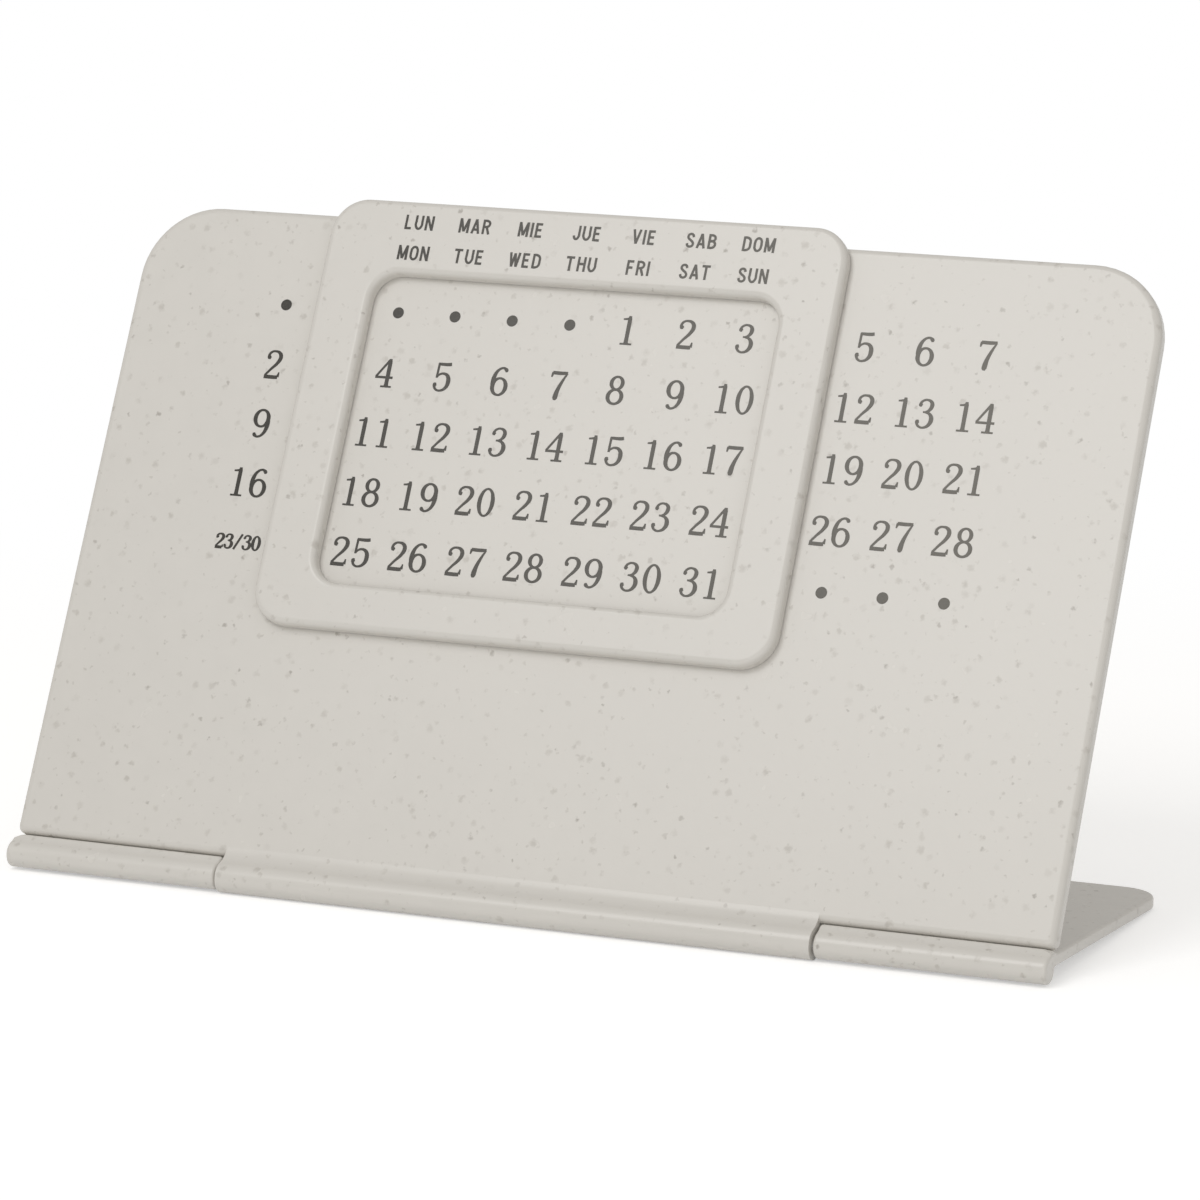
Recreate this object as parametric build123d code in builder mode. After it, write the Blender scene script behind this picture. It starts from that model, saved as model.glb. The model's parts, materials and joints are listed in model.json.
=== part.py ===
from build123d import *
import os
from math import asin, atan2, cos, hypot, radians, sin, tan

# Front panel, measured up its face from the hinge axis
panel_width = 160.0
panel_rise = 101.6
panel_thickness = 2.4
panel_corner = 11.4
panel_foot_corner = 1.2
panel_front_round = 1.0
panel_back_round = 0.3
lean = 25.0

# Hinge: a barrel on the panel between two knuckles on the base, with a pin across each seam
face_offset = 0.15
barrel_half = 45.7
barrel_blend = 3.5
tongue_lap = 0.8
roll_radius = 1.95
roll_blend = 0.5
knuckle_gap = 0.4
brow_gap = 0.25
brow_foot = 1.3
brow_sunk = 0.15
brow_round = 0.8
brow_blend = 1.5
brow_end = 3.0
brow_step = 0.05
stop_gap = 0.1
recess_gap = 0.4
recess_corner = 1.0
pin_radius = 0.9
pin_grip = 7.0
pin_chamfer = 0.2
pin_end_gap = 0.3
pin_clearance = 0.05

# Base plate, measured back from the hinge axis
base_depth = 50.6
base_thickness = 1.9
base_corner = 6.0
base_round = 0.5

# Slider: a window frame that hangs over the panel's top edge
slider_width = 81.6
slider_height = 65.95
slider_thickness = 2.0
slider_corner = 5.5
slider_front_round = 0.9
slider_gap = 0.15
slider_hang = 0.2
slider_rest = -8.45
side_rail = 8.6
foot_rail = 6.9
head_rail = 11.25
window_corner = 4.2
bridge_thickness = 1.95
bridge_inset = 8.0
lip_thickness = 1.8
lip_reach = 16.0
lip_gap = 0.25
lip_corner = 4.0
lip_round = 0.8

# Guide rib on the lip, and the groove that it runs in from the first date to the last
rib_height = 1.4
rib_depth = 0.7
rib_rise = 3.0
rib_inset = 6.0
groove_depth = 0.75
groove_clearance = 0.35
date_pitch = 9.16
dates_across = 13
dates_shown = 7

# The barrel is tangent to the panel's back, and the object stands on it and on the base's rear edge
barrel_radius = panel_thickness - face_offset
panel_back = face_offset - panel_thickness
under_level = roll_radius - base_thickness
rear_run = base_depth - base_round
rear_lift = under_level + base_round
base_tilt = asin((barrel_radius - base_round) / hypot(rear_run, rear_lift)) + atan2(rear_lift, rear_run)
panel_angle = radians(lean) + base_tilt

# The panel's lower side edges come to rest on the base plate at the lean
stop_level = roll_radius + stop_gap + panel_back_round
back_arm = -panel_back - panel_back_round
panel_foot = (stop_level + back_arm * sin(radians(lean))) / cos(radians(lean)) - panel_back_round
plate_height = panel_rise - panel_foot
tongue_height = panel_foot + panel_front_round + tongue_lap

# The brow of a knuckle carries the barrel's hollow on, and ends just below the panel's foot
brow_height = panel_foot - brow_gap
brow_heel = (roll_radius - brow_height * cos(radians(lean))) / sin(radians(lean))
brow_depth = face_offset - brow_heel + brow_sunk
brow_rise = brow_height * cos(radians(lean)) + face_offset * sin(radians(lean)) - roll_radius

# The recess in the base clears the leaning panel
recess_depth = -panel_back / cos(radians(lean)) + roll_radius * tan(radians(lean)) + recess_gap
knuckle_start = barrel_half + knuckle_gap

# Slider levels, up the panel and out from the hinge axis
slider_top = panel_rise + slider_hang + bridge_thickness
slider_back = face_offset + slider_gap
slider_middle = slider_top - slider_height / 2
window_width = slider_width - 2 * side_rail
window_height = slider_height - head_rail - foot_rail
window_middle = slider_top - head_rail - window_height / 2
bridge_width = slider_width - 2 * bridge_inset
lip_front = panel_back - lip_gap
lip_back = lip_front - lip_thickness
rib_level = slider_top - lip_reach + rib_rise
rib_width = bridge_width - 2 * rib_inset
side_travel = (dates_across - dates_shown) / 2 * date_pitch
groove_width = rib_width + 2 * (side_travel + groove_clearance)

# The origin is on the table, under the middle of the whole object
base_reach = base_depth * cos(base_tilt) + roll_radius * sin(base_tilt)
lip_run = (slider_top - lip_round) * sin(panel_angle) + (-lip_back - lip_round) * cos(panel_angle) + lip_round
hinge_y = (barrel_radius - max(base_reach, lip_run)) / 2
hinge_point = Vector(0, hinge_y, barrel_radius)

# Working planes on the hinge axis: local y runs up the panel, or back along the base
panel_plane = Plane(hinge_point, x_dir=(1, 0, 0), z_dir=(0, -cos(panel_angle), sin(panel_angle)))
base_plane = Plane(hinge_point, x_dir=(1, 0, 0), z_dir=(0, sin(base_tilt), cos(base_tilt)))
barrel_start = hinge_point - Vector(barrel_half, 0, 0)
barrel_plane = Plane(barrel_start, x_dir=panel_plane.y_dir, z_dir=(1, 0, 0))
roll_start = hinge_point - Vector(panel_width / 2, 0, 0)
roll_plane = Plane(roll_start, x_dir=base_plane.y_dir, z_dir=(1, 0, 0))
panel_out = Axis(hinge_point, panel_plane.z_dir)
base_back = Axis(hinge_point, base_plane.y_dir)
base_out = Axis(hinge_point, base_plane.z_dir)

os.makedirs("parts", exist_ok=True)


def end_plane(x, side):
    """Plane across the hinge axis at x, facing outwards on that side."""
    return Plane(hinge_point + Vector(x, 0, 0), x_dir=(0, 1, 0), z_dir=(side, 0, 0))


# Front panel: a plate with rounded edges, a tongue in the middle and the hinge barrel at its foot
with BuildPart() as front_panel:
    with BuildSketch(panel_plane.offset(panel_back)) as plate_outline:
        with Locations((0, panel_foot + plate_height / 2)):
            Rectangle(panel_width, plate_height)
        fillet(plate_outline.vertices().group_by(Axis.Y)[-1], panel_corner)
        fillet(plate_outline.vertices().group_by(Axis.Y)[0], panel_foot_corner)
    extrude(amount=panel_thickness)
    fillet(front_panel.faces().sort_by(panel_out)[-1].edges(), panel_front_round)
    fillet(front_panel.faces().sort_by(panel_out)[0].edges(), panel_back_round)

    # The tongue carries the face down into the barrel, with a hollow blend between them
    with BuildSketch(barrel_plane) as barrel_profile:
        Circle(barrel_radius)
        with Locations((0, panel_back)):
            Rectangle(tongue_height, panel_thickness, align=(Align.MIN, Align.MIN))
        face_corners = barrel_profile.vertices().filter_by_position(Axis.Y, 0, face_offset)
        fillet(face_corners.sort_by(Axis.X)[0], barrel_blend)
    extrude(amount=2 * barrel_half)

    # A blind hole at each end of the barrel grips a pin
    for side in (-1, 1):
        with BuildSketch(end_plane(side * barrel_half, side)):
            Circle(pin_radius)
        extrude(amount=-(pin_grip + pin_end_gap), mode=Mode.SUBTRACT)

    # A shallow groove across the back guides the slider, and its ends stop it
    with BuildSketch(panel_plane.offset(panel_back)):
        with Locations((0, rib_level)):
            SlotOverall(groove_width, rib_height + 2 * groove_clearance)
    extrude(amount=groove_depth, mode=Mode.SUBTRACT)
front_panel.part.label = "front_panel"
export_step(front_panel.part, "parts/front_panel.step")


def lean_point(rise, out):
    """Point of the base's section, given by its rise and its distance out in the leaning panel's own frame."""
    back = rise * sin(radians(lean)) - out * cos(radians(lean))
    return (back, rise * cos(radians(lean)) + out * sin(radians(lean)))


# Base plate: a thin sheet with a roll along its front edge, which is cut away in the middle for the barrel
with BuildPart() as base_plate:
    with BuildSketch(roll_plane) as roll_profile:
        Circle(roll_radius)
        with Locations(lean_point(brow_foot, face_offset)):
            Rectangle(tongue_height - brow_foot, brow_depth, rotation=90 - lean, align=(Align.MIN, Align.MAX))
        fillet(roll_profile.vertices().sort_by_distance(lean_point(roll_radius, face_offset))[0], barrel_blend)
        with Locations(lean_point(brow_height, 0)):
            Rectangle(tongue_height, 2 * barrel_blend, rotation=90 - lean, align=(Align.MIN, Align.CENTER),
                      mode=Mode.SUBTRACT)
        fillet(roll_profile.vertices().sort_by_distance(lean_point(brow_height, face_offset))[0], brow_round)
        with Locations((0, under_level)):
            Rectangle(base_depth, base_thickness, align=(Align.MIN, Align.MIN))
        roll_corners = roll_profile.vertices().filter_by_position(Axis.X, 0, base_depth / 2)
        fillet(roll_corners.sort_by(Axis.Y)[0], roll_blend)
        fillet(roll_profile.vertices().sort_by_distance(lean_point(brow_height, brow_heel))[0], brow_blend)
    extrude(amount=panel_width)
    fillet(base_plate.edges().filter_by(base_out).sort_by(base_back)[-2:], base_corner)

    # The recess leaves a knuckle at each end of the roll
    with BuildSketch(base_plane) as recess_outline:
        with Locations((0, recess_depth)):
            Rectangle(2 * knuckle_start, 2 * recess_depth, align=(Align.CENTER, Align.MAX))
        fillet(recess_outline.vertices().group_by(Axis.Y)[-1], recess_corner)
    extrude(amount=2 * roll_radius, both=True, mode=Mode.SUBTRACT)

    # The whole rim is rounded, from the ends of the rolls round to the rear edge and the recess
    rim_edges = base_plate.edges().filter_by(base_out, reverse=True)
    roll_lines = rim_edges.filter_by(Axis.X).filter_by_position(base_back, -roll_radius, recess_depth - recess_gap)
    fillet(rim_edges - roll_lines, base_round)

    # The brow slopes down in a curve at the outer end of each knuckle
    with BuildSketch(Plane(hinge_point, x_dir=(1, 0, 0), z_dir=-base_plane.y_dir)):
        for side in (-1, 1):
            with Locations((side * panel_width / 2, roll_radius + brow_step + brow_rise)):
                Rectangle(2 * brow_end, 2 * brow_rise)
            with Locations((side * (panel_width / 2 - brow_end), roll_radius)):
                Ellipse(brow_end, brow_rise, mode=Mode.SUBTRACT)
    extrude(amount=2 * roll_radius, both=True, mode=Mode.SUBTRACT)

    # A blind hole in each knuckle takes a pin with a running fit
    for side in (-1, 1):
        with BuildSketch(end_plane(side * knuckle_start, -side)):
            Circle(pin_radius + pin_clearance)
        extrude(amount=-(pin_grip + pin_end_gap), mode=Mode.SUBTRACT)
base_plate.part.label = "base_plate"
export_step(base_plate.part, "parts/base_plate.step")

# Slider: the window frame in front, a bridge over the panel's top edge and a lip behind
with BuildPart() as slider:
    with BuildSketch(panel_plane.offset(slider_back)) as frame_outline:
        with Locations((slider_rest, slider_middle)):
            RectangleRounded(slider_width, slider_height, slider_corner)
        with Locations((slider_rest, window_middle)):
            RectangleRounded(window_width, window_height, window_corner, mode=Mode.SUBTRACT)
    extrude(amount=slider_thickness)
    fillet(slider.faces().sort_by(panel_out)[-1].edges(), slider_front_round)

    # The bridge and the lip are one bent strip, inset from the frame's rounded corners
    with BuildSketch(panel_plane.offset(lip_back)):
        with Locations((slider_rest, slider_top - bridge_thickness / 2)):
            Rectangle(bridge_width, bridge_thickness)
    extrude(amount=slider_back - lip_back)
    with BuildSketch(panel_plane.offset(lip_back)) as lip_outline:
        with Locations((slider_rest, slider_top - lip_reach / 2)):
            Rectangle(bridge_width, lip_reach)
        fillet(lip_outline.vertices().group_by(Axis.Y)[0], lip_corner)
    extrude(amount=lip_thickness)
    fillet(slider.faces().sort_by(panel_out)[0].edges(), lip_round)

    # The rib on the lip's inner face snaps into the groove
    with BuildSketch(panel_plane.offset(lip_front)):
        with Locations((slider_rest, rib_level)):
            SlotOverall(rib_width, rib_height)
    extrude(amount=rib_depth)
slider.part.label = "slider"
export_step(slider.part, "parts/slider.step")

# Hinge pins: plain steel wire, gripped in the barrel and turning in the knuckles
for side, pin_name in ((-1, "hinge_pin_left"), (1, "hinge_pin_right")):
    with BuildPart() as hinge_pin:
        with BuildSketch(end_plane(side * (barrel_half - pin_grip), side)):
            Circle(pin_radius)
        extrude(amount=2 * pin_grip + knuckle_gap)
        chamfer(hinge_pin.edges().filter_by(GeomType.CIRCLE), pin_chamfer)
    hinge_pin.part.label = pin_name
    export_step(hinge_pin.part, "parts/" + pin_name + ".step")
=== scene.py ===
import bpy
import json
from math import cos, pi, radians, sin
from mathutils import Euler, Matrix, Vector


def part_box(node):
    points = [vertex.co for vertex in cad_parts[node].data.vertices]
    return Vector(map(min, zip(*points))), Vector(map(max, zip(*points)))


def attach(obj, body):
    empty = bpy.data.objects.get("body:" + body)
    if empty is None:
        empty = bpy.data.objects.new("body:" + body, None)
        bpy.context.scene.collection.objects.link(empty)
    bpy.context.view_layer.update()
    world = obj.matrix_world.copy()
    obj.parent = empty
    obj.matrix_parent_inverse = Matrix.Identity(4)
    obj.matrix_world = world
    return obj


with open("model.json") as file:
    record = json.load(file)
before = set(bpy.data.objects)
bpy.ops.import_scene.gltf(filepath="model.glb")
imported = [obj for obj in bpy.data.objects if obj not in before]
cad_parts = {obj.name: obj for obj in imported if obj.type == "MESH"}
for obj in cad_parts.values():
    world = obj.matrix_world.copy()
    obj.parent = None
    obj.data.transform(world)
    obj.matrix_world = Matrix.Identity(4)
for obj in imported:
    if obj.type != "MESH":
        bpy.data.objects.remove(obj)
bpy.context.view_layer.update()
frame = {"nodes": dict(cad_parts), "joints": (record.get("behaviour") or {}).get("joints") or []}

# Front panel: the upright plate that carries the dates, with the hinge barrel moulded along its foot.
# It is injection moulded in a warm grey plastic filled with crushed straw, which shows as brown flecks.
# The mould leaves a satin face with a fine grain, and its edges are rounded.


def add_node(tree, kind, inputs, **settings):
    """Adds a shader node. Each input is a plain value, or another node's output that is linked to it."""
    made = tree.nodes.new(kind)
    for key, value in settings.items():
        setattr(made, key, value)
    for key, value in inputs.items():
        if isinstance(value, bpy.types.NodeSocket):
            tree.links.new(value, made.inputs[key])
        else:
            made.inputs[key].default_value = value
    return made


def math_node(tree, operation, *terms):
    """One sum on two or three values."""
    return add_node(tree, "ShaderNodeMath", dict(enumerate(terms)), operation=operation).outputs[0]


def between(tree, value, low, high):
    """A value from 0 to 1 spread out between two others."""
    spread = add_node(tree, "ShaderNodeMapRange", {"Value": value, "To Min": low, "To Max": high})
    return spread.outputs["Result"]


def noise(tree, place, scale, detail):
    """Noise from 0 to 1 with so many grains to the metre."""
    grains = add_node(tree, "ShaderNodeTexNoise", {"Vector": place, "Scale": scale, "Detail": detail})
    return grains.outputs[0]


def mix_colours(tree, factor, under, over, blend="MIX"):
    """The colour over laid on the colour under, by a mask."""
    # A mix node takes its colours at inputs 6 and 7, and gives the mixed one at output 2
    layers = {0: factor, 6: under, 7: over}
    mixed = add_node(tree, "ShaderNodeMix", layers, data_type="RGBA", blend_type=blend)
    return mixed.outputs[2]


def fleck_layer(tree, place, scale, smallest, largest, share, faintest, darkest):
    """A mask of scattered flecks. Scale is in cells to the metre, and sizes are in cells.

    Share is the part of the cells that hold a fleck.
    """
    # Each cell's random colour is three lots: the fleck's size, whether there is one, and its depth
    cells = add_node(tree, "ShaderNodeTexVoronoi", {"Vector": place, "Scale": scale})
    lots = add_node(tree, "ShaderNodeSeparateColor", {"Color": cells.outputs["Color"]})
    radius = between(tree, lots.outputs["Red"], smallest, largest)
    core = math_node(tree, "MULTIPLY", radius, fleck_core)
    shape = add_node(
        tree,
        "ShaderNodeMapRange",
        {"Value": cells.outputs["Distance"], "From Min": radius, "From Max": core},
        interpolation_type="SMOOTHSTEP",
    )
    held = math_node(tree, "LESS_THAN", lots.outputs["Green"], share)
    depth = between(tree, lots.outputs["Blue"], faintest, darkest)
    return math_node(tree, "MULTIPLY", math_node(tree, "MULTIPLY", shape.outputs["Result"], held), depth)


straw = bpy.data.node_groups.new("straw_filled_plastic", "ShaderNodeTree")
straw_inputs = {"Place": "Vector", "Plastic": "Color", "Chaff": "Color", "Husk": "Color"}
straw_outputs = {"Color": "Color", "Roughness": "Float", "Grain": "Float"}
for socket_name, socket_type in straw_inputs.items():
    straw.interface.new_socket(socket_name, in_out="INPUT", socket_type="NodeSocket" + socket_type)
for socket_name, socket_type in straw_outputs.items():
    straw.interface.new_socket(socket_name, in_out="OUTPUT", socket_type="NodeSocket" + socket_type)
straw_in = straw.nodes.new("NodeGroupInput")
straw_out = straw.nodes.new("NodeGroupOutput")
straw_place = straw_in.outputs["Place"]

# Ragged edges come from a small wobble of the place that the flecks are read at
soft_detail = 2.0
wobble_scale = 1700.0
wobble_reach = (0.001, 0.001, 0.001)
ripple = {"Vector": straw_place, "Scale": wobble_scale, "Detail": soft_detail}
wobble = add_node(straw, "ShaderNodeTexNoise", ripple)
ragged = add_node(
    straw,
    "ShaderNodeVectorMath",
    {0: wobble.outputs["Color"], 1: wobble_reach, 2: straw_place},
    operation="MULTIPLY_ADD",
).outputs[0]

# Broad faint chaff, a few darker bits of husk, and fine dust. Each fleck is darkest over its core.
fleck_core = 0.2
chaff_mask = fleck_layer(
    straw, ragged, scale=420.0, smallest=0.18, largest=0.36, share=1.0, faintest=0.06, darkest=0.30
)
husk_mask = fleck_layer(
    straw, ragged, scale=330.0, smallest=0.10, largest=0.19, share=0.8, faintest=0.2, darkest=0.5
)
dust_mask = fleck_layer(
    straw, ragged, scale=800.0, smallest=0.16, largest=0.34, share=0.5, faintest=0.06, darkest=0.28
)

# The plastic drifts a little in tone over the plate and is faintly clouded between the flecks
cloud_scale = 240.0
drift_scale = 22.0
tone_range = (0.98, 1.02)
clouds = noise(straw, straw_place, cloud_scale, soft_detail)
drift = noise(straw, straw_place, drift_scale, soft_detail)
tone = math_node(straw, "MULTIPLY", between(straw, clouds, *tone_range), between(straw, drift, *tone_range))
clouded = mix_colours(straw, 1.0, straw_in.outputs["Plastic"], tone, "MULTIPLY")
chaffed = mix_colours(straw, chaff_mask, clouded, straw_in.outputs["Chaff"])
dusted = mix_colours(straw, dust_mask, chaffed, straw_in.outputs["Chaff"])
husked = mix_colours(straw, husk_mask, dusted, straw_in.outputs["Husk"])
straw.links.new(husked, straw_out.inputs["Color"])

# Flecks at the skin are a little duller, and the mould's grain is finer than they are
satin_range = (0.23, 0.29)
husk_dulling = 0.05
grain_scale = 2600.0
grain_detail = 3.0
satin = between(straw, clouds, *satin_range)
dulled = math_node(straw, "MULTIPLY_ADD", husk_mask, husk_dulling, satin)
straw.links.new(dulled, straw_out.inputs["Roughness"])
straw.links.new(noise(straw, straw_place, grain_scale, grain_detail), straw_out.inputs["Grain"])

grain_strength = 0.12
grain_depth = 0.00004
plastic_colour = (0.719, 0.696, 0.653, 1.0)
chaff_colour = (0.26, 0.225, 0.175, 1.0)
husk_colour = (0.15, 0.12, 0.085, 1.0)


def straw_plastic(name, batch):
    """The speckled plastic. Each piece has its own batch, so that no two pieces share their flecks."""
    material = bpy.data.materials.new(name)
    material.use_nodes = True
    tree = material.node_tree
    shader = tree.nodes["Principled BSDF"]
    place = add_node(tree, "ShaderNodeTexCoord", {}).outputs["Object"]
    moved = add_node(tree, "ShaderNodeMapping", {"Vector": place, "Location": batch})
    mixture = {"Plastic": plastic_colour, "Chaff": chaff_colour, "Husk": husk_colour}
    finish = add_node(tree, "ShaderNodeGroup", {"Place": moved.outputs[0], **mixture}, node_tree=straw)
    relief = {"Strength": grain_strength, "Distance": grain_depth, "Height": finish.outputs["Grain"]}
    bump = add_node(tree, "ShaderNodeBump", relief)
    tree.links.new(finish.outputs["Color"], shader.inputs["Base Color"])
    tree.links.new(finish.outputs["Roughness"], shader.inputs["Roughness"])
    tree.links.new(bump.outputs["Normal"], shader.inputs["Normal"])
    return material


def dress(piece, material):
    """Gives a piece one material all over."""
    piece.data.materials.clear()
    piece.data.materials.append(material)


panel_batch = (0.31, 0.0, 0.0)
dress(frame["nodes"]["front_panel"], straw_plastic("panel_plastic", panel_batch))

# Date print: five rows of dates and blank dots across the panel's face, pad printed in dark grey ink.
# The serif figures are drawn as pen strokes that swell and thin, and the ink is a film of about 0.02 mm.
# Two dates share each of the first two places of the last row, in small bold figures.
mm = 0.001
broad_share = 0.2
ring_knots = 12
hinge = Vector(next(joint for joint in frame["joints"] if joint["name"] == "fold")["pos_m"])


def face_place(node):
    """The matrix from a drawing in millimetres to a node's front: x to the right, y up, z out.

    The drawing's origin is the hinge axis, brought forward to the front.
    """
    ahead = [face for face in node.data.polygons if face.normal.y < 0]
    broad = broad_share * max(face.area for face in ahead)
    large_faces = [face for face in ahead if face.area > broad]
    front = max(large_faces, key=lambda face: face.center.dot(face.normal))
    out = front.normal.normalized()
    right = Vector((1.0, 0.0, 0.0))
    turn = Matrix((right, out.cross(right), out)).transposed().to_4x4()
    foot = hinge + out * out.dot(front.center - hinge)
    return Matrix.Translation(foot) @ turn @ Matrix.Diagonal((mm, mm, mm, 1.0))


def ring(middle_x, middle_y, half_width, half_height, side, cap):
    """A closed stroke round an ellipse, side thick at its flanks and cap thick at its top and foot."""
    points = []
    for step in range(ring_knots):
        turn = step * 2 * pi / ring_knots
        width = cap + (side - cap) * cos(turn) ** 2
        points.append((middle_x + half_width * cos(turn), middle_y + half_height * sin(turn), width))
    return points + points[:1]


# Each figure is a list of strokes, and each stroke a list of x, y and pen width in millimetres
figures = {
    "0": [ring(0, 0, 1.02, 2.05, 0.52, 0.27)],
    "1": [
        [(-0.95, 1.66, 0.2), (-0.4, 1.72, 0.26), (0.1, 1.82, 0.3)],
        [(0.06, 2.2, 0.34), (0.06, 1.7, 0.5), (0.06, -1.7, 0.5), (0.06, -2.1, 0.62)],
        [(-0.85, -2.1, 0.22), (0.97, -2.1, 0.22)],
    ],
    "2": [
        [
            (-0.72, 0.78, 0.12), (-0.84, 0.98, 0.5), (-1.0, 1.36, 0.36), (-0.68, 1.9, 0.3),
            (-0.02, 2.06, 0.28), (0.66, 1.82, 0.42), (0.94, 1.2, 0.52), (0.62, 0.32, 0.44),
            (-0.3, -0.76, 0.32), (-1.06, -1.72, 0.3),
        ],
        [(-1.2, -1.94, 0.46), (0.6, -1.96, 0.46), (1.0, -1.94, 0.44)],
        [(0.98, -1.9, 0.4), (1.08, -1.5, 0.26), (1.12, -1.16, 0.18)],
    ],
    "3": [
        [
            (-0.78, 1.02, 0.12), (-0.88, 1.22, 0.48), (-0.9, 1.56, 0.34), (-0.5, 1.98, 0.28),
            (0.1, 2.06, 0.28), (0.66, 1.74, 0.42), (0.78, 1.2, 0.5), (0.48, 0.56, 0.38),
            (-0.02, 0.26, 0.26), (-0.42, 0.24, 0.22),
        ],
        [
            (-0.05, 0.24, 0.26), (0.6, 0.0, 0.36), (0.98, -0.72, 0.54), (0.72, -1.62, 0.44),
            (0.02, -2.06, 0.28), (-0.66, -1.96, 0.28), (-1.02, -1.52, 0.36), (-0.98, -1.16, 0.5),
            (-0.84, -0.96, 0.12),
        ],
    ],
    "4": [
        [(0.36, 2.08, 0.3), (-1.46, -0.62, 0.28)],
        [(-1.56, -0.68, 0.3), (1.24, -0.68, 0.3)],
        [(0.42, 2.2, 0.34), (0.42, 1.7, 0.5), (0.42, -1.7, 0.5), (0.42, -2.1, 0.62)],
        [(-0.46, -2.1, 0.22), (1.26, -2.1, 0.22)],
    ],
    "5": [
        [(-0.98, 2.0, 0.34), (0.7, 2.0, 0.42), (1.08, 2.08, 0.4)],
        [(-0.86, 2.1, 0.3), (-0.92, -0.14, 0.28)],
        [
            (-0.9, -0.02, 0.2), (-0.5, 0.42, 0.26), (0.1, 0.56, 0.3), (0.76, 0.24, 0.44),
            (1.02, -0.62, 0.54), (0.74, -1.6, 0.42), (0.0, -2.06, 0.28), (-0.68, -1.96, 0.28),
            (-1.02, -1.5, 0.36), (-0.98, -1.12, 0.5), (-0.84, -0.92, 0.12),
        ],
    ],
    "6": [
        [
            (0.62, 1.5, 0.12), (0.72, 1.7, 0.5), (0.5, 2.0, 0.34), (0.08, 2.08, 0.28),
            (-0.54, 1.7, 0.36), (-0.98, 0.8, 0.5), (-1.08, -0.3, 0.54), (-1.06, -0.8, 0.4),
        ],
        ring(0.0, -0.78, 1.04, 1.28, 0.52, 0.28),
    ],
    "7": [
        [(-1.08, 1.98, 0.42), (0.7, 1.98, 0.42), (1.26, 2.06, 0.3)],
        [(-1.04, 2.06, 0.3), (-1.1, 1.7, 0.28), (-1.18, 1.3, 0.16)],
        [(1.2, 1.98, 0.22), (0.62, 0.78, 0.34), (0.12, -0.6, 0.5), (-0.08, -1.84, 0.6), (-0.1, -2.18, 0.3)],
    ],
    "8": [ring(0.0, 1.1, 0.86, 0.96, 0.48, 0.28), ring(0.0, -0.98, 1.06, 1.08, 0.5, 0.3)],
    "9": [
        [
            (-0.62, -1.5, 0.12), (-0.72, -1.7, 0.5), (-0.5, -2.0, 0.34), (-0.08, -2.08, 0.28),
            (0.54, -1.7, 0.36), (0.98, -0.8, 0.5), (1.08, 0.3, 0.54), (1.06, 0.8, 0.4),
        ],
        ring(0.0, 0.78, 1.04, 1.28, 0.52, 0.28),
    ],
    "/": [[(-1.05, -2.3, 0.36), (1.05, 2.4, 0.36)]],
}
ink_film = 0.02
layer_lift = ink_film / 4
pen_weight = 1.25
pen_steps = 4
nib_half = 0.5
figure_step = 3.36
column_step = 9.152
row_step = 9.2
first_row = 86.78
print_shift = 0.18
last_row = 4
last_row_shift = 0.38
week = 7
month_days = 31
blank_radius = 0.87
blank_sides = 28
blank_rise = 0.17
small_scale = 0.51
small_step = 2.9
small_weight = 1.95

bpy.ops.object.select_all(action="DESELECT")
nib_line = bpy.data.curves.new("nib", "CURVE")
nib_line.dimensions = "3D"
nib_edge = nib_line.splines.new("POLY")
nib_edge.points.add(1)
nib_edge.points[0].co = (-nib_half, 0.0, 0.0, 1.0)
nib_edge.points[1].co = (nib_half, 0.0, 0.0, 1.0)
nib = bpy.data.objects.new("nib", nib_line)
bpy.context.collection.objects.link(nib)


def only(piece):
    """Makes a piece the only one selected, and the active one."""
    bpy.ops.object.select_all(action="DESELECT")
    piece.select_set(True)
    bpy.context.view_layer.objects.active = piece


def give_film(piece):
    """Thickens a flat drawing into a closed film of ink, half of it above the face."""
    only(piece)
    film = piece.modifiers.new("film", "SOLIDIFY")
    film.thickness = 2 * ink_film
    film.offset = 0.0
    bpy.ops.object.modifier_apply(modifier=film.name)
    bpy.ops.object.mode_set(mode="EDIT")
    bpy.ops.mesh.select_all(action="SELECT")
    bpy.ops.mesh.normals_make_consistent(inside=False)
    bpy.ops.object.mode_set(mode="OBJECT")


def draw(name, strokes, weight):
    """Strokes in ink, in millimetres. A stroke that ends where it starts is closed.

    Each stroke lies a hair above the one before, as overlapping ink does.
    """
    drawing = bpy.data.curves.new(name, "CURVE")
    drawing.dimensions = "3D"
    drawing.twist_mode = "Z_UP"
    drawing.bevel_mode = "OBJECT"
    drawing.bevel_object = nib
    for layer, stroke in enumerate(strokes):
        closed = stroke[0] == stroke[-1]
        knots = stroke[:-1] if closed else stroke
        pen = drawing.splines.new("BEZIER")
        pen.bezier_points.add(len(knots) - 1)
        pen.use_cyclic_u = closed
        pen.resolution_u = pen_steps
        pen.use_smooth = False
        pen.radius_interpolation = "CARDINAL"
        for knot, (x, y, width) in zip(pen.bezier_points, knots):
            knot.co = (x, y, layer * layer_lift)
            knot.radius = width * weight
            knot.handle_left_type = "AUTO"
            knot.handle_right_type = "AUTO"
    drawn = bpy.data.objects.new(name, drawing)
    bpy.context.collection.objects.link(drawn)
    only(drawn)
    bpy.ops.object.convert(target="MESH")
    give_film(drawn)
    return drawn


def set_down(master, x, y, scale=1.0):
    """A copy of a drawn piece, with its own mesh, set down on the drawing."""
    copy = master.copy()
    copy.data = master.data.copy()
    bpy.context.collection.objects.link(copy)
    copy.data.transform(Matrix.Translation((x, y, 0.0)) @ Matrix.Diagonal((scale, scale, 1.0, 1.0)))
    return copy


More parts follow.
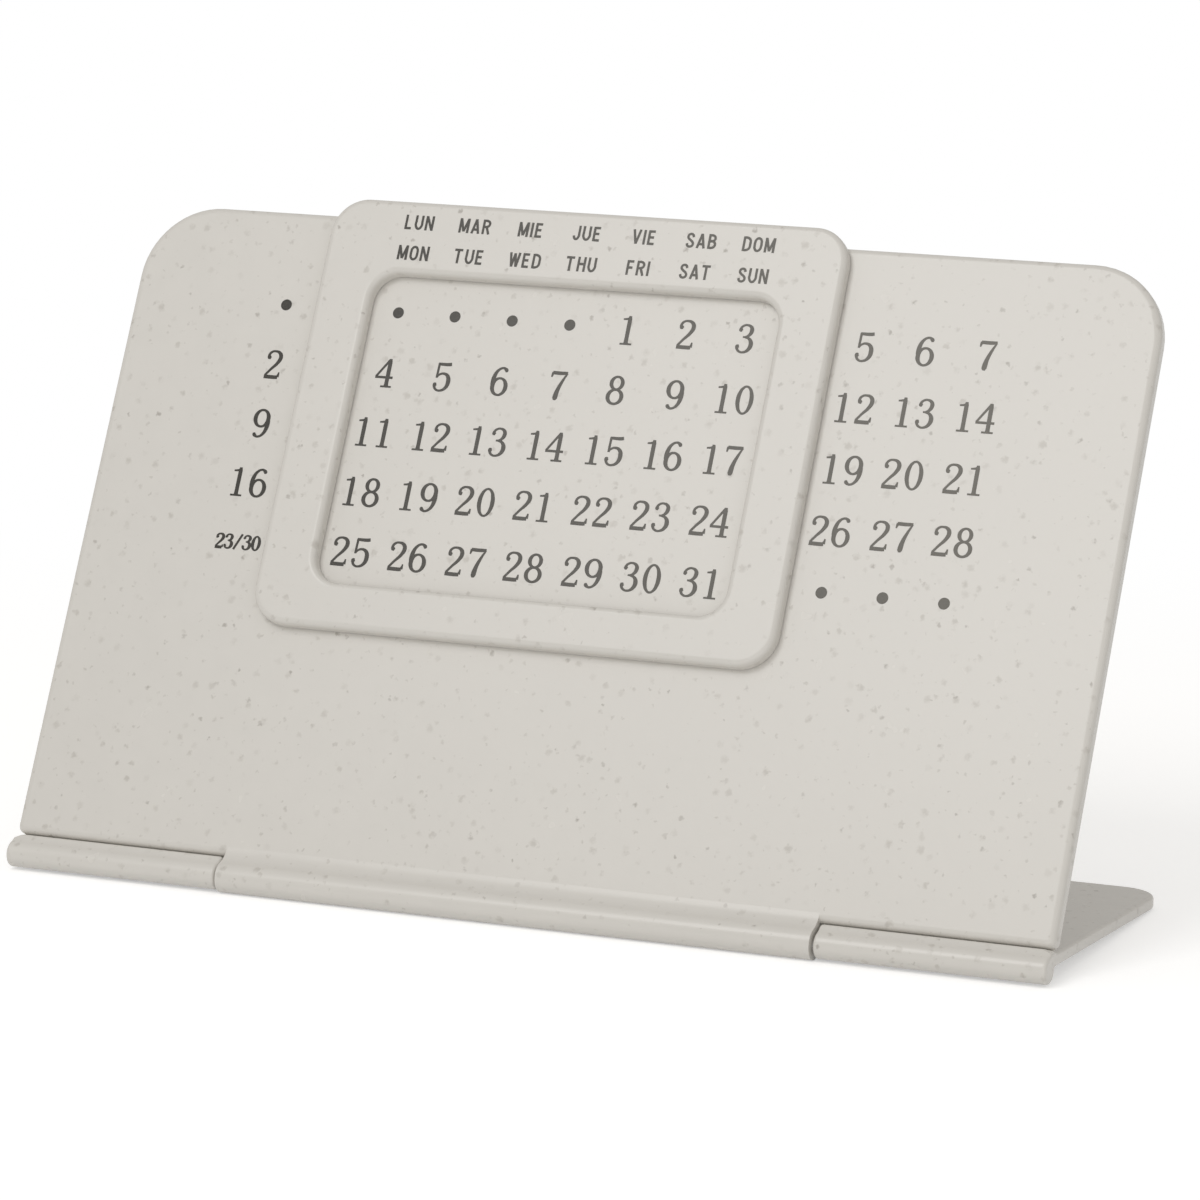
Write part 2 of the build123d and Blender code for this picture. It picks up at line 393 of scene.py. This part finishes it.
def finish_print(name, pieces, node, body):
    """Joins the printed pieces in one object, lays it on a node's front and lets it ride on a body."""
    bpy.ops.object.select_all(action="DESELECT")
    for piece in pieces:
        piece.select_set(True)
    bpy.context.view_layer.objects.active = pieces[0]
    bpy.ops.object.join()
    joined = bpy.context.object
    joined.name = name
    joined.data.name = name
    joined.data.transform(face_place(frame["nodes"][node]))
    dress(joined, ink)
    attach(joined, body)


ink_scale = 2200.0
spots_from = 0.55
spots_full = 0.8
spots_thinning = 0.3
sheen_from = -45.0
sheen_full = 55.0
sheen_lightening = 0.6
# The pale ink colour serves two marks: the thin spots in the ink, and the painted sheen toward the right
thick_ink = (0.022, 0.0185, 0.011, 1.0)
thin_ink_and_sheen = (0.105, 0.090, 0.062, 1.0)
ink_gloss = (0.18, 0.28)
ink = bpy.data.materials.new("print_ink")
ink.use_nodes = True
ink_tree = ink.node_tree
ink_shader = ink_tree.nodes["Principled BSDF"]
ink_place = add_node(ink_tree, "ShaderNodeTexCoord", {}).outputs["Object"]
ink_cover = noise(ink_tree, ink_place, ink_scale, grain_detail)
ink_spots = add_node(
    ink_tree,
    "ShaderNodeMapRange",
    {"Value": ink_cover, "From Min": spots_from, "From Max": spots_full, "To Max": spots_thinning},
).outputs["Result"]

# The ink is painted lighter toward the right. This is a painted sheen that stands in for the lamp's
# reflection on the ink.
ink_across = add_node(ink_tree, "ShaderNodeSeparateXYZ", {"Vector": ink_place}).outputs["X"]
ink_sheen = add_node(
    ink_tree,
    "ShaderNodeMapRange",
    {"Value": ink_across, "From Min": sheen_from * mm, "From Max": sheen_full * mm, "To Max": sheen_lightening},
).outputs["Result"]
# Thin spots in the ink, plus the painted sheen toward the right
ink_thin_and_sheen = math_node(ink_tree, "ADD", ink_spots, ink_sheen)
ink_tree.links.new(mix_colours(ink_tree, ink_thin_and_sheen, thick_ink, thin_ink_and_sheen), ink_shader.inputs["Base Color"])
ink_tree.links.new(between(ink_tree, ink_cover, *ink_gloss), ink_shader.inputs["Roughness"])

large = {figure: draw("figure", figures[figure], pen_weight) for figure in "0123456789"}
small = {figure: draw("small_figure", figures[figure], small_weight) for figure in "01234/"}
bpy.ops.mesh.primitive_circle_add(vertices=blank_sides, radius=blank_radius, fill_type="NGON")
blank = bpy.context.object
give_film(blank)

# Each row starts a week after the one above it, and a place outside the month holds a dot.
# The last row stands a little to the right of the others.
dates = []
for row in range(last_row + 1):
    for column in range(2 * week - 1):
        x = print_shift + (column + 1 - week) * column_step
        if row == last_row:
            x += last_row_shift
        y = first_row - row * row_step
        day = row * week + column + 2 - week
        if not 1 <= day <= month_days:
            dates.append(set_down(blank, x, y + blank_rise))
            continue
        shared = row == last_row and day + week <= month_days
        entry = f"{day}/{day + week}" if shared else str(day)
        masters, scale, step = (small, small_scale, small_step) if shared else (large, 1.0, figure_step)
        for index, figure in enumerate(entry):
            offset = (index - (len(entry) - 1) / 2) * step * scale
            dates.append(set_down(masters[figure], x + offset, y, scale))
finish_print("date_print", dates, "front_panel", "panel")
for master in [*large.values(), *small.values(), blank]:
    bpy.data.objects.remove(master)

# Hinge pins: two short lengths of drawn steel wire, one across each seam between barrel and knuckle.
# They are pressed into the barrel's ends and turn in the knuckles, and show only in the seams.
wire_marks = (40.0, 4000.0, 4000.0)
dull_steel = (0.50, 0.50, 0.49, 1.0)
bright_steel = (0.68, 0.67, 0.65, 1.0)
steel_gloss = (0.22, 0.42)
steel = bpy.data.materials.new("pin_steel")
steel.use_nodes = True
steel_tree = steel.node_tree
steel_shader = steel_tree.nodes["Principled BSDF"]
steel_shader.inputs["Metallic"].default_value = 1.0
steel_place = add_node(steel_tree, "ShaderNodeTexCoord", {}).outputs["Object"]
drawn_out = add_node(steel_tree, "ShaderNodeMapping", {"Vector": steel_place, "Scale": wire_marks})
die_marks = noise(steel_tree, drawn_out.outputs[0], 1.0, soft_detail)
steel_tone = mix_colours(steel_tree, die_marks, dull_steel, bright_steel)
steel_tree.links.new(steel_tone, steel_shader.inputs["Base Color"])
steel_tree.links.new(between(steel_tree, die_marks, *steel_gloss), steel_shader.inputs["Roughness"])
for side in ("left", "right"):
    dress(frame["nodes"]["hinge_pin_" + side], steel)

# Base plate: the foot that the calendar stands on, a thin sheet with a knuckle at each end of its front.
# It is moulded in the same straw-filled plastic as the panel, which leans back over it.
base_batch = (0.0, 0.47, 0.0)
dress(frame["nodes"]["base_plate"], straw_plastic("base_plastic", base_batch))

# Slider: the window frame that hangs over the panel's top edge and is pushed along it to choose the month.
# It is one moulding with a springy lip behind, in the same straw-filled plastic.
slider_batch = (0.0, 0.0, 0.59)
dress(frame["nodes"]["slider"], straw_plastic("slider_plastic", slider_batch))

# Weekday print: two rows of short weekday names on the slider's head, one for each language.
# They are in the panel's ink. The plain narrow capitals are drawn with one pen.
# The names stand over the seven columns of the window.
capital_pen = 0.37
letter_gap = 0.34
weekday_step = 8.945
weekday_shift = 0.29
upper_level = 100.38
lower_level = 95.62
weekday_rows = {
    upper_level: ("LUN", "MAR", "MIE", "JUE", "VIE", "SAB", "DOM"),
    lower_level: ("MON", "TUE", "WED", "THU", "FRI", "SAT", "SUN"),
}

# Each capital is a list of strokes, and each stroke a list of x and y in millimetres from the first stem
stem = [(0.0, 1.13), (0.0, -1.13)]
capitals = {
    "A": [[(0.0, -1.13), (0.53, 1.1)], [(1.06, -1.13), (0.53, 1.1)], [(0.2, -0.5), (0.86, -0.5)]],
    "B": [
        stem,
        [(0.0, 0.95), (0.45, 0.95), (0.8, 0.74), (0.8, 0.28), (0.45, 0.06), (0.0, 0.06)],
        [(0.0, 0.06), (0.5, 0.06), (0.88, -0.2), (0.88, -0.7), (0.5, -0.95), (0.0, -0.95)],
    ],
    "D": [
        stem,
        [(0.0, 0.95), (0.42, 0.95), (0.86, 0.68), (0.96, 0.0), (0.86, -0.68), (0.42, -0.95), (0.0, -0.95)],
    ],
    "E": [stem, [(0.0, 0.95), (0.86, 0.95)], [(0.0, 0.04), (0.76, 0.04)], [(0.0, -0.95), (0.88, -0.95)]],
    "F": [stem, [(0.0, 0.95), (0.86, 0.95)], [(0.0, 0.0), (0.74, 0.0)]],
    "H": [stem, [(0.96, 1.13), (0.96, -1.13)], [(0.0, 0.04), (0.96, 0.04)]],
    "I": [stem],
    "J": [[(0.76, 1.13), (0.76, 0.0), (0.74, -0.55), (0.38, -0.96), (0.04, -0.7), (0.0, -0.42)]],
    "L": [stem, [(0.0, -0.95), (0.86, -0.95)]],
    "M": [stem, [(0.02, 1.08), (0.62, -0.9)], [(1.22, 1.08), (0.62, -0.9)], [(1.24, 1.13), (1.24, -1.13)]],
    "N": [stem, [(0.02, 1.06), (0.96, -1.06)], [(0.98, 1.13), (0.98, -1.13)]],
    "O": [
        [
            (0.5, 0.97), (0.1, 0.7), (0.0, 0.25), (0.0, -0.25), (0.1, -0.7), (0.5, -0.97),
            (0.9, -0.7), (1.0, -0.25), (1.0, 0.25), (0.9, 0.7), (0.5, 0.97),
        ],
    ],
    "R": [
        stem,
        [(0.0, 0.95), (0.5, 0.95), (0.86, 0.72), (0.86, 0.26), (0.5, 0.02), (0.0, 0.02)],
        [(0.46, 0.06), (0.94, -1.13)],
    ],
    "S": [
        [
            (0.88, 0.5), (0.78, 0.82), (0.44, 0.97), (0.1, 0.78), (0.06, 0.42), (0.34, 0.12),
            (0.72, -0.16), (0.92, -0.5), (0.8, -0.84), (0.44, -0.97), (0.1, -0.82), (0.0, -0.48),
        ],
    ],
    "T": [[(-0.19, 0.95), (1.09, 0.95)], [(0.45, 1.0), (0.45, -1.13)]],
    "U": [
        [
            (0.0, 1.13), (0.0, 0.2), (0.02, -0.5), (0.48, -0.96),
            (0.94, -0.5), (0.96, 0.2), (0.96, 1.13),
        ],
    ],
    "V": [[(0.0, 1.13), (0.52, -1.06)], [(1.04, 1.13), (0.52, -1.06)]],
    "W": [
        [(0.0, 1.13), (0.36, -1.06)], [(0.72, 1.0), (0.36, -1.06)],
        [(0.72, 1.0), (1.08, -1.06)], [(1.44, 1.13), (1.08, -1.06)],
    ],
}
letters = {}
letter_widths = {}
for letter, strokes in capitals.items():
    letters[letter] = draw("capital", [[(x, y, capital_pen) for x, y in stroke] for stroke in strokes], 1.0)
    letter_widths[letter] = max(x for stroke in strokes for x, y in stroke)

slider_low, slider_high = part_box("slider")
slider_middle = (slider_low[0] + slider_high[0]) / 2 / mm
weekdays = []
for level, names in weekday_rows.items():
    for index, name in enumerate(names):
        advance = capital_pen + letter_gap
        word_width = sum(letter_widths[letter] for letter in name) + (len(name) - 1) * advance
        x = slider_middle + weekday_shift + (index - (len(names) - 1) / 2) * weekday_step - word_width / 2
        for letter in name:
            weekdays.append(set_down(letters[letter], x, level))
            x += letter_widths[letter] + advance
finish_print("weekday_print", weekdays, "slider", "window")
for master in [*letters.values(), nib]:
    bpy.data.objects.remove(master)

# Stage: a white table top under soft light from above the reader, with pale surroundings.
# The camera stands to the reader's right, a little above the calendar, with a long lens.
table_size = 12.0
table_colour = (0.88, 0.88, 0.88, 1.0)
table_roughness = 0.9
table_glow = 0.41
table_fade_from = 0.11
table_fade_full = 0.30
pure_white = (1.0, 1.0, 1.0, 1.0)
bpy.ops.object.select_all(action="DESELECT")
bpy.ops.mesh.primitive_plane_add(size=table_size)
table = bpy.context.object
table.name = "table"
white = bpy.data.materials.new("table_white")
white.use_nodes = True
white_tree = white.node_tree
white_shader = white_tree.nodes["Principled BSDF"]
white_shader.inputs["Base Color"].default_value = table_colour
white_shader.inputs["Roughness"].default_value = table_roughness
white_shader.inputs["Specular IOR Level"].default_value = 0.0
white_shader.inputs["Emission Color"].default_value = pure_white
table_rays = white_tree.nodes.new("ShaderNodeLightPath").outputs
seen = math_node(white_tree, "MAXIMUM", table_rays["Is Camera Ray"], table_rays["Is Glossy Ray"])
glow = math_node(white_tree, "MULTIPLY", seen, table_glow)
white_tree.links.new(glow, white_shader.inputs["Emission Strength"])

# Away from the calendar the table fades into plain white
white_place = add_node(white_tree, "ShaderNodeTexCoord", {}).outputs["Object"]
reach = add_node(white_tree, "ShaderNodeVectorMath", {0: white_place}, operation="LENGTH").outputs["Value"]
far = add_node(
    white_tree,
    "ShaderNodeMapRange",
    {"Value": reach, "From Min": table_fade_from, "From Max": table_fade_full},
    interpolation_type="SMOOTHSTEP",
)
plain_white = add_node(white_tree, "ShaderNodeEmission", {"Color": pure_white, "Strength": 1.0})
fade = math_node(white_tree, "MULTIPLY", far.outputs["Result"], seen)
table_mix = add_node(
    white_tree,
    "ShaderNodeMixShader",
    {0: fade, 1: white_shader.outputs["BSDF"], 2: plain_white.outputs["Emission"]},
)
white_tree.links.new(table_mix.outputs[0], white_tree.nodes["Material Output"].inputs["Surface"])
dress(table, white)

# The room lights the calendar softly and a little warmly, and is plain white behind it
room_strength = 0.55
room_tint = (1.0, 0.98, 0.95, 1.0)
world = bpy.data.worlds.new("pale_room")
bpy.context.scene.world = world
world.use_nodes = True
world_tree = world.node_tree
room = world_tree.nodes["Background"]
room_rays = world_tree.nodes.new("ShaderNodeLightPath").outputs
shown = math_node(world_tree, "MAXIMUM", room_rays["Is Camera Ray"], room_rays["Is Transmission Ray"])
world_tree.links.new(between(world_tree, shown, room_strength, 1.0), room.inputs["Strength"])
world_tree.links.new(mix_colours(world_tree, shown, room_tint, pure_white), room.inputs["Color"])

lamp_aim = Vector((0.0, 0.0, 0.05))


def soft_lamp(name, place, width, height, watts):
    """A soft box that faces the middle of the calendar."""
    box = bpy.data.lights.new(name, "AREA")
    box.shape = "RECTANGLE"
    box.size = width
    box.size_y = height
    box.energy = watts
    lamp = bpy.data.objects.new(name, box)
    bpy.context.collection.objects.link(lamp)
    lamp.location = place
    lamp.rotation_euler = (lamp_aim - lamp.location).to_track_quat("-Z", "Y").to_euler()


soft_lamp("key", place=(-0.22, -0.61, 0.82), width=0.44, height=0.5, watts=2.2)
soft_lamp("fill", place=(0.22, -0.62, 0.06), width=0.7, height=0.25, watts=0.7)

camera_place = (0.323193, -0.750955, 0.206595)
camera_turn = (78.635, -0.383, 23.189)
camera_lens = 174.5
sensor_width = 36.0
photo_camera = bpy.data.cameras.new("photo_camera")
photo_camera.lens = camera_lens
photo_camera.sensor_width = sensor_width
camera = bpy.data.objects.new("photo_camera", photo_camera)
bpy.context.collection.objects.link(camera)
camera.location = camera_place
camera.rotation_euler = Euler([radians(angle) for angle in camera_turn])
bpy.context.scene.camera = camera
bpy.context.scene.view_settings.view_transform = "Standard"
